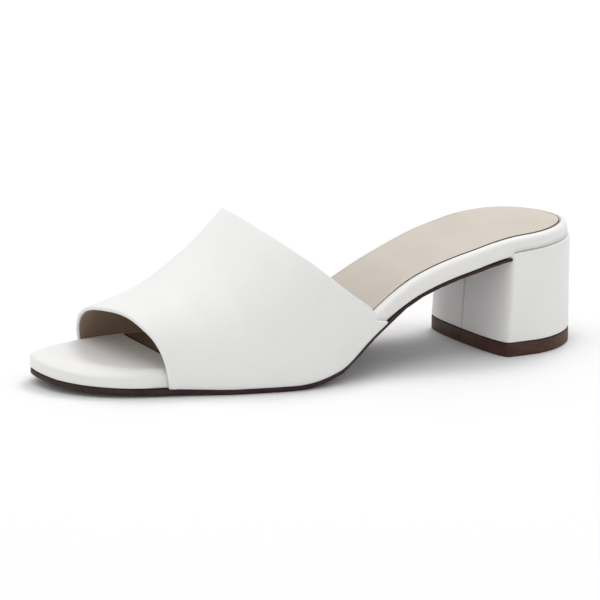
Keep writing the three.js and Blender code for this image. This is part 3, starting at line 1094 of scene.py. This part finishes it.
@dataclass
class Footbed:
    """The padded footbed wrapped in leather, with a rolled rim round a shallow recess."""

    last: Last
    band: VampBand
    heel: "BlockHeel"
    thickness: float = 7.6
    rim_round: float = 3.0
    rim_drop: float = 2.6
    toe_round: float = 10.0
    toe_drop: float = 3.7
    toe_slant: float = 0.45
    foot_round: float = 0.8
    pinch: float = 0.6
    seat_pinch: float = 0.9
    sock_margin: float = 4.7
    sock_proud: float = 0.28
    sock_thickness: float = 0.9
    recess_depth: float = 1.05
    lip_round: float = 0.55
    lip_rows: tuple[tuple[float, float], ...] = (
        (0.0, 0.0),
        (0.30, 0.05),
        (0.47, 0.2),
        (0.55, 0.45),
    )
    lip_foot: float = 0.60
    lip_fade: float = 10.0
    sock_front: float = 52.0
    sock_lean: float = 0.1
    lean_fade: tuple[float, float] = (60.0, 110.0)
    groove_width: float = 0.3
    sock_round: float = 0.22
    sock_bevel: float = 0.1
    inner_ring: float = 2.0
    corner_step: float = 0.2
    edge_width: float = 0.36
    edge_height: float = 0.5
    edge_out: float = 0.09
    edge_sunk: float = 0.05
    # Where the painted shade on the sock under the band fades out.
    shaded_end: float = 96.0
    rim_fade: tuple[float, float] = (8.0, 48.0)
    drop_fade: tuple[float, float] = (45.0, 100.0)
    pinch_fade: tuple[float, float] = (150.0, 200.0)
    square_ends: tuple[float, float] = (46.0, 60.0)
    front_group: tuple[float, ...] = (-0.8, -0.4, -0.15, 0.0, 0.2)
    front_ramp: float = 0.45
    dark_from: tuple[float, float] = (0.25, 0.6)
    least_step: float = 0.3
    ramp_steps: int = 4
    small_steps: int = 4
    steps: int = 150
    round_steps: int = 8

    def levels(self, plan: Array) -> list[Level]:
        """Rings from the underside over the rim down into the recess.

        Args:
            plan: The footbed's outline.

        Returns:
            The rings; the rim is flatter and wider at the lateral side of the toe, and drawn in
            over the heel.
        """
        across, along = plan[:, 0], plan[:, 1]
        from_middle = (across - self.last.middle(along)) / self.last.ball_width
        towards_lateral = np.clip(0.5 + from_middle, 0.0, 1.0)
        toe = towards_lateral * (1.0 - smooth_step(along, *self.rim_fade))
        low = towards_lateral * (1.0 - smooth_step(along, *self.drop_fade))
        drawn_in = self.seat_pinch * smooth_step(along, *self.pinch_fade)
        inset = self.rim_round + (self.toe_round - self.rim_round) * toe
        drop = self.rim_drop + (self.toe_drop - self.rim_drop) * low
        made = []
        for i, h in quarter_round(self.foot_round, self.small_steps):
            made.append(Level(i + drawn_in, np.full_like(along, h)))
        power = 1.0 + self.toe_slant * toe
        for i, h in reversed(quarter_round(1.0, self.round_steps)):
            moved_in = inset * (1.0 - (1.0 - i) ** power) + drawn_in
            made.append(Level(moved_in, self.thickness - drop * (1.0 - (1.0 - h) ** power)))
        lip = self.sock_margin - self.groove_width - self.lip_round
        behind = smooth_step(along, self.sock_front - self.lip_fade, self.sock_front)
        inner = np.maximum(inset, lip) * (1.0 - behind) + lip * behind
        floor = [(self.lip_foot, self.recess_depth), (self.inner_ring, self.recess_depth)]
        for step, sunk in [*self.lip_rows, *floor]:
            made.append(Level(inner + step, np.full_like(along, self.thickness), sunk))
        return made

    def places(self) -> Array:
        """Stations along the shoe.

        Returns:
            The stations, with close groups where the sock lining and the heel start.
        """
        close = self.sock_front - self.groove_width + np.array(self.front_group)
        edges = self.last.edge(np.full(2, self.heel.breast_place), np.array([1.0, -1.0]))
        for edge in self.heel.seat_start(edges):
            close = np.append(close, edge + np.linspace(0.0, self.heel.seat_ramp, self.ramp_steps))
        spread = cosine_places(0.0, self.last.length, self.steps)
        far = np.min(np.abs(spread[:, None] - close[None, :]), axis=1) > self.least_step
        return np.sort(np.concatenate([spread[far], close]))

    def build_wrap(self, finish: bpy.types.Material) -> bpy.types.Object:
        """Leather wrap over the padding, rim and toe.

        Args:
            finish: The material.

        Returns:
            The dressed piece.
        """
        places = self.places()
        edge = self.last.outline(places, lambda t, s: -self.pinch * self.band.clasp(t, s))
        front = self.sock_front - self.groove_width
        lean = self.sock_lean * (1.0 - smooth_step(places, *self.lean_fade))
        rings, groove_shades = [], []
        for level in self.levels(edge):
            plan = inset_outline(edge, level.inset)
            plan = self.last.squared(plan, places, self.square_ends, lean)
            behind = smooth_step(self.upright(plan), front - self.front_ramp, front)
            height = level.height - level.sunk * behind
            height = np.maximum(height, self.heel.seat_step * self.heel.covers(plan))
            rings.append(self.last.raised(plan, height))
            # Painted shade: the sunk rings of the recess are marked to take the near-black colour of
            # the groove's shade.
            groove_shades.append(smooth_step(level.sunk * behind, *self.dark_from))
        loft = RingLoft(self.last.in_frame(np.array(rings))).mask("groove", np.array(groove_shades))
        return fit(loft.build("footbed_wrap"), finish, Slot.FOOTBED, "footbed")

    def upright(self, plan: Array) -> Array:
        """Places along the shoe, counted so that the sock's front line has one value."""
        return plan[:, 1] - self.sock_lean * plan[:, 0]

    def sock_outline(self) -> Array:
        """Outline of the sock lining, cut in a straight line at its front.

        Returns:
            The outline's points, across and along, from the front line's lateral corner.
        """
        spread = cosine_places(0.0, self.last.length, self.steps)
        plan = inset_outline(self.last.outline(spread, no_widening), self.sock_margin)
        tip = len(spread) - 1
        halves = []
        for points in (plan[: tip + 1], plan[: tip - 1 : -1]):
            across = np.interp(self.sock_front, self.upright(points), points[:, 0])
            corner = [across, self.sock_front + self.sock_lean * across]
            kept = points[self.upright(points) > self.sock_front + self.corner_step]
            halves.append((corner, kept))
        count = min(len(kept) for _, kept in halves)
        lateral, medial = (np.vstack([corner, kept[-count:]]) for corner, kept in halves)
        return np.vstack([lateral, medial[-2::-1]])

    def build_sock(self, finish: bpy.types.Material) -> bpy.types.Object:
        """Sock lining glued into the recess.

        Args:
            finish: The material.

        Returns:
            The dressed piece.
        """
        outline = self.sock_outline()
        bottom = self.thickness + self.sock_proud - self.sock_thickness
        top = self.thickness + self.sock_proud
        levels = [(self.sock_bevel, bottom), (0.0, bottom + self.sock_bevel)]
        rounded = quarter_round(self.sock_round, self.small_steps)
        levels += [(i, top - h) for i, h in reversed(rounded)]
        levels += [(self.inner_ring, top)]
        rings = np.array([self.last.raised(inset_outline(outline, i), h) for i, h in levels])
        loft = RingLoft(self.last.in_frame(rings), Cap.CUT_FRONT)
        # Painted shade: the sock's front under the band is darkened, fading out by shaded_end.
        loft.mask("under_band_shade", 1.0 - smooth_step(rings[:, :, 1], self.sock_front, self.shaded_end))
        return fit(loft.build("sock_sheet"), finish, Slot.SOCK, "sock_lining")

    def build_sock_edge(self, finish: bpy.types.Material) -> bpy.types.Object:
        """Cut edge of the sock lining, a fine line that follows its outline in the groove; its
        near-black colour is partly the edge's own and partly painted shade of the groove.

        Args:
            finish: The material.

        Returns:
            The dressed piece.
        """
        outline = inset_outline(self.sock_outline(), -self.edge_out)
        middle = self.thickness + self.sock_proud - 0.5 * self.edge_height - self.edge_sunk
        path = self.last.in_frame(self.last.raised(outline, middle))
        sweep = EdgeSweep(width=self.edge_width, height=self.edge_height)
        return fit(sweep.build("sock_edge_line", path, finish), finish, Slot.SOCK)


@dataclass(frozen=True)
class EdgeSweep:
    """Geometry Nodes tree that sweeps an oval section along a closed path."""

    width: float
    height: float
    section_points: int = 10

    def tree(self) -> bpy.types.NodeTree:
        """Builds the tree, with its sizes and finish as named inputs."""
        tree = bpy.data.node_groups.new("edge_sweep", "GeometryNodeTree")
        face = tree.interface
        face.new_socket("Path", in_out="INPUT", socket_type="NodeSocketGeometry")
        for name in ("Width", "Height"):
            face.new_socket(name, in_out="INPUT", socket_type="NodeSocketFloat")
        face.new_socket("Finish", in_out="INPUT", socket_type="NodeSocketMaterial")
        face.new_socket("Edge", in_out="OUTPUT", socket_type="NodeSocketGeometry")
        kinds = {
            "given": "NodeGroupInput",
            "path": "GeometryNodeMeshToCurve",
            "upright": "GeometryNodeSetCurveNormal",
            "circle": "GeometryNodeCurvePrimitiveCircle",
            "scale": "ShaderNodeCombineXYZ",
            "oval": "GeometryNodeTransform",
            "sweep": "GeometryNodeCurveToMesh",
            "smooth": "GeometryNodeSetShadeSmooth",
            "real": "GeometryNodeRealizeInstances",
            "finish": "GeometryNodeSetMaterial",
            "made": "NodeGroupOutput",
        }
        nodes = {name: tree.nodes.new(kind) for name, kind in kinds.items()}
        nodes["upright"].mode = "Z_UP"
        nodes["circle"].inputs["Resolution"].default_value = self.section_points
        nodes["circle"].inputs["Radius"].default_value = 0.5
        links = (
            ("given", "Path", "path", "Mesh"),
            ("path", "Curve", "upright", "Curve"),
            ("given", "Width", "scale", "X"),
            ("given", "Height", "scale", "Y"),
            ("circle", "Curve", "oval", "Geometry"),
            ("scale", "Vector", "oval", "Scale"),
            ("upright", "Curve", "sweep", "Curve"),
            ("oval", "Geometry", "sweep", "Profile Curve"),
            ("sweep", "Mesh", "smooth", "Geometry"),
            ("smooth", "Geometry", "real", "Geometry"),
            ("real", "Geometry", "finish", "Geometry"),
            ("given", "Finish", "finish", "Material"),
            ("finish", "Geometry", "made", "Edge"),
        )
        for giver, output, taker, socket in links:
            tree.links.new(nodes[giver].outputs[output], nodes[taker].inputs[socket])
        return tree

    def build(self, name: str, path: Array, finish: bpy.types.Material) -> bpy.types.Object:
        """Sweeps the section along a path.

        Args:
            name: Name of the piece.
            path: Points of the closed path, in metres in the model's frame.
            finish: The piece's material.

        Returns:
            The piece as a plain mesh with no modifier left on it.
        """
        line = bpy.data.meshes.new(name + "_path")
        count = len(path)
        line.from_pydata(path.tolist(), [(i, (i + 1) % count) for i in range(count)], [])
        carrier = placed(name + "_path", line)
        modifier = carrier.modifiers.new("sweep", "NODES")
        modifier.node_group = self.tree()
        values = {"Width": self.width * MM, "Height": self.height * MM, "Finish": finish}
        for item in modifier.node_group.interface.items_tree:
            if item.in_out == "INPUT" and item.name in values:
                modifier[item.identifier] = values[item.name]
        mesh = finished_mesh(carrier)
        mesh.name = name
        bpy.data.objects.remove(carrier)
        return placed(name, mesh)


@dataclass
class BlockHeel:
    """The covered block heel with its breast seam, and the top piece that it walks on."""

    last: Last
    breast_place: float = 190.9
    breast_round: float = 6.0
    breast_fullness: float = 2.8
    breast_turn: float = 0.16
    breast_lean: float = 2.5
    stand: float = 0.2
    taper: float = 0.2
    seat_step: float = 1.7
    seat_back: float = 3.0
    seat_ramp: float = 1.2
    top_piece: float = 5.9
    top_piece_round: float = 0.6
    cover_round: float = 0.7
    seam_depth: float = 0.16
    seam_width: float = 0.5
    lip_place: float = 1.3
    lip_width: float = 0.6
    lip_height: float = 0.07
    breast_end: float = 0.985
    seam_group: tuple[float, ...] = (0.006, 0.012, 0.018, 0.024, 0.036)
    cover_steps: int = 12
    round_steps: int = 4
    steps: int = 110
    breast_steps: int = 34

    def places(self) -> Array:
        """Stations of the heel's outline.

        Returns:
            Distances back from the breast, even across the breast and crowded at the back.
        """
        share = np.linspace(0.0, self.breast_end, self.breast_steps + 1)
        share = np.sort(np.concatenate([share, self.seam_group]))
        power = self.breast_fullness
        near = self.breast_round * (1.0 - (1.0 - share**power) ** (1.0 / power))
        reach = self.last.length + self.stand - self.breast_place
        rest = near[-1] + (reach - near[-1]) * np.sin(np.linspace(0.0, math.pi / 2.0, self.steps))
        return np.concatenate([near, rest[1:]])

    def outline(self, level: float, inset: float) -> Array:
        """Heel outline in plan.

        Args:
            level: 0 at the top piece and 1 at the seat.
            inset: How far the outline moves in.

        Returns:
            The outline's points, across and along.
        """
        front = self.breast_place + self.breast_lean * level
        back = self.last.length + self.stand
        distance = self.places()
        distance = distance * (back - front) / distance[-1]
        shrink = 1.0 + (self.stand - self.taper * (1.0 - level)) / (self.last.seat_width / 2.0)
        halves = []
        for side in (1.0, -1.0):
            along = front + distance
            middle = self.last.middle(along)
            seat = self.last.edge(along - self.stand, np.full_like(along, side)) - middle
            breast = end_round(distance, self.breast_round, self.breast_fullness)
            across = middle + seat * shrink * breast
            fade = 1.0 - smooth_step(along, front, self.last.length - self.last.heel_round)
            halves.append(np.column_stack([across, along + self.breast_turn * across * fade]))
        return inset_outline(np.vstack([halves[0], halves[1][-2:0:-1]]), inset)

    def seat_start(self, across: Array) -> Array:
        """Place along the shoe where the cover starts to rise round the footbed."""
        front = self.breast_place + self.breast_lean
        return front + self.breast_turn * across + self.seat_back

    def covers(self, plan: Array) -> Array:
        """One where the cover stands round the footbed, and nothing ahead of the breast."""
        start = self.seat_start(plan[:, 0])
        return smooth_step(plan[:, 1], start, start + self.seat_ramp)

    def build_cover(self, finish: bpy.types.Material) -> bpy.types.Object:
        """Leather cover, closed by one seam down the middle of the breast.

        Args:
            finish: The material.

        Returns:
            The dressed piece.
        """
        floor = self.top_piece + self.last.clearance
        rounded = quarter_round(self.cover_round, self.round_steps)
        steps = [(inset, 0.0, height) for inset, height in rounded]
        steps += [(0.0, i / self.cover_steps, 0.0) for i in range(1, self.cover_steps)]
        steps += [(inset, 1.0, -height) for inset, height in reversed(rounded)]
        rings, seams = [], []
        for inset, share, shift in steps:
            plan = self.outline(share, 0.0)
            distance = np.linalg.norm(plan - plan[0], axis=1)
            groove = hump(distance, 0.0, self.seam_width)
            lips = hump(distance, self.lip_place, self.lip_width)
            seat = self.last.underside(plan[:, 1]) + self.seat_step - self.last.clearance
            height = floor + (seat - floor) * share + shift
            moved = inset_outline(plan, inset)
            moved[:, 1] += self.seam_depth * groove - self.lip_height * lips
            rings.append(np.column_stack([moved, height]))
            seams.append(groove)
        loft = RingLoft(self.last.in_frame(np.array(rings))).mask("seam", np.array(seams))
        return fit(loft.build("heel_cover"), finish, Slot.HEEL, "heel_block")

    def build_top_piece(self, finish: bpy.types.Material) -> bpy.types.Object:
        """Top piece under the heel, with its edges eased.

        Args:
            finish: The material.

        Returns:
            The dressed piece.
        """
        levels = quarter_round(self.top_piece_round, self.round_steps)
        upper = quarter_round(self.top_piece_round / 2.0, self.round_steps - 1)
        levels += [(i, self.top_piece - h) for i, h in reversed(upper)]
        rings = []
        for inset, height in levels:
            plan = self.outline(0.0, inset)
            rings.append(np.column_stack([plan, np.full(len(plan), height)]))
        piece = RingLoft(self.last.in_frame(np.array(rings))).build("top_piece")
        return fit(piece, finish, Slot.TOP_PIECE, "heel_top_piece")


@dataclass
class Outsole:
    """The thin outsole, carried over from the frame with its facets smoothed."""

    node: str = "outsole"
    smooth_angle: float = 35.0
    join_within: float = 0.01

    def build(self, cad: bpy.types.Object, finish: bpy.types.Material) -> bpy.types.Object:
        """Copies the frame's outsole, joins its loose triangles and smooths its long edges.

        Args:
            cad: The frame's own outsole.
            finish: The material.

        Returns:
            The new piece.
        """
        mesh = cad.data.copy()
        mesh.name = "sole_plate"
        piece = placed("sole_plate", mesh)
        weld = piece.modifiers.new("join", "WELD")
        weld.merge_threshold = self.join_within * MM
        joined = finished_mesh(piece)
        piece.modifiers.clear()
        piece.data = joined
        joined.shade_smooth()
        joined.set_sharp_from_angle(angle=math.radians(self.smooth_angle))
        return fit(piece, finish, Slot.OUTSOLE, self.node)


def set_facing(thing: bpy.types.Object, aim: Vector, turn: tuple[float, float], away: float) -> None:
    """Places a light or a camera so that it faces a point.

    Args:
        thing: The light or camera.
        aim: The point that it faces, in metres.
        turn: Its azimuth and elevation as seen from that point, in degrees.
        away: Its distance from that point, in metres.
    """
    azimuth, elevation = (math.radians(angle) for angle in turn)
    level = math.cos(elevation)
    towards = Vector((math.cos(azimuth) * level, math.sin(azimuth) * level, math.sin(elevation)))
    thing.location = aim + towards * away
    thing.rotation_euler = (-towards).to_track_quat("-Z", "Y").to_euler()


@dataclass(frozen=True)
class Lamp:
    """One soft rectangular studio light aimed at the shoe."""

    name: str
    azimuth: float
    elevation: float
    distance: float
    size: tuple[float, float]
    power: float
    colour: Colour = (1.0, 1.0, 1.0)

    def build(self, aim: Vector) -> None:
        """Adds the light.

        Args:
            aim: The point that it faces, in metres.
        """
        light = bpy.data.lights.new(self.name, "AREA")
        light.shape = "RECTANGLE"
        light.size, light.size_y = self.size
        light.energy = self.power
        light.color = self.colour
        lamp = placed(self.name, light)
        set_facing(lamp, aim, (self.azimuth, self.elevation), self.distance)


@dataclass
class Studio:
    """Pale floor, soft lights and the camera at the photograph's angle."""

    floor_span: float = 12.0
    floor_white: Colour = (0.87, 0.87, 0.875)
    floor_roughness: float = 0.9
    azimuth: float = -22.76
    elevation: float = 14.56
    distance: float = 1.603
    lens: float = 229.3
    sensor: float = 36.0
    clip: tuple[float, float] = (0.1, 50.0)
    aim: tuple[float, float, float] = (-0.0027, -0.0029, 0.0262)
    world_strength: float = 0.74
    lamps: tuple[Lamp, ...] = (
        Lamp("key", 130.0, 60.0, 2.2, (0.85, 0.85), 14.0, (1.0, 0.99, 0.975)),
        Lamp("overhead", 200.0, 82.0, 2.2, (2.0, 2.0), 4.0),
        Lamp("front", -85.0, 68.0, 2.4, (2.2, 1.8), 9.5),
        Lamp("low", 215.0, 22.0, 2.4, (1.6, 1.0), 2.5, (1.0, 0.98, 0.955)),
    )

    def build(self) -> None:
        """Sets the stage."""
        scene = bpy.context.scene
        scene.view_settings.view_transform = "Standard"
        world = bpy.data.worlds.new("studio")
        world.use_nodes = True
        background = world.node_tree.nodes["Background"]
        background.inputs["Color"].default_value = (1.0, 1.0, 1.0, 1.0)
        background.inputs["Strength"].default_value = self.world_strength
        scene.world = world
        self.build_floor()
        for lamp in self.lamps:
            lamp.build(Vector(self.aim))
        self.build_camera()

    def build_floor(self) -> None:
        """Adds the floor at the level that the shoe stands on."""
        half = self.floor_span / 2.0
        mesh = bpy.data.meshes.new("floor")
        corners = [(-half, -half, 0.0), (half, -half, 0.0), (half, half, 0.0), (-half, half, 0.0)]
        mesh.from_pydata(corners, [], [(0, 1, 2, 3)])
        look = {"Base Color": self.floor_white, "Roughness": self.floor_roughness}
        mesh.materials.append(ShaderTree("floor_white").finish(look))
        placed("floor", mesh)

    def build_camera(self) -> None:
        """Adds the camera."""
        data = bpy.data.cameras.new("camera")
        data.sensor_width = self.sensor
        data.lens = self.lens
        data.clip_start, data.clip_end = self.clip
        camera = placed("camera", data)
        set_facing(camera, Vector(self.aim), (self.azimuth, self.elevation), self.distance)
        bpy.context.scene.camera = camera


def main() -> None:
    """Builds the whole scene round the frame."""
    logging.basicConfig(level=logging.INFO, format="%(message)s")
    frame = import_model()
    last = Last()
    band = VampBand(last)
    heel = BlockHeel(last)
    footbed = Footbed(last, band, heel)
    band.build_shell(WHITE.build())
    band.build_lining(SHADED_LINING.build())
    wrap = footbed.build_wrap(RIM_WHITE.build())
    footbed.build_sock(BEIGE.build())
    footbed.build_sock_edge(CUT_EDGE_AND_SHADE.build())
    heel.build_cover(HEEL_WHITE.build())
    heel.build_top_piece(TOP_PIECE_BROWN.build())
    Outsole().build(frame["nodes"]["outsole"], SOLE_BROWN.build())
    Studio().build()


if __name__ == "__main__":
    main()
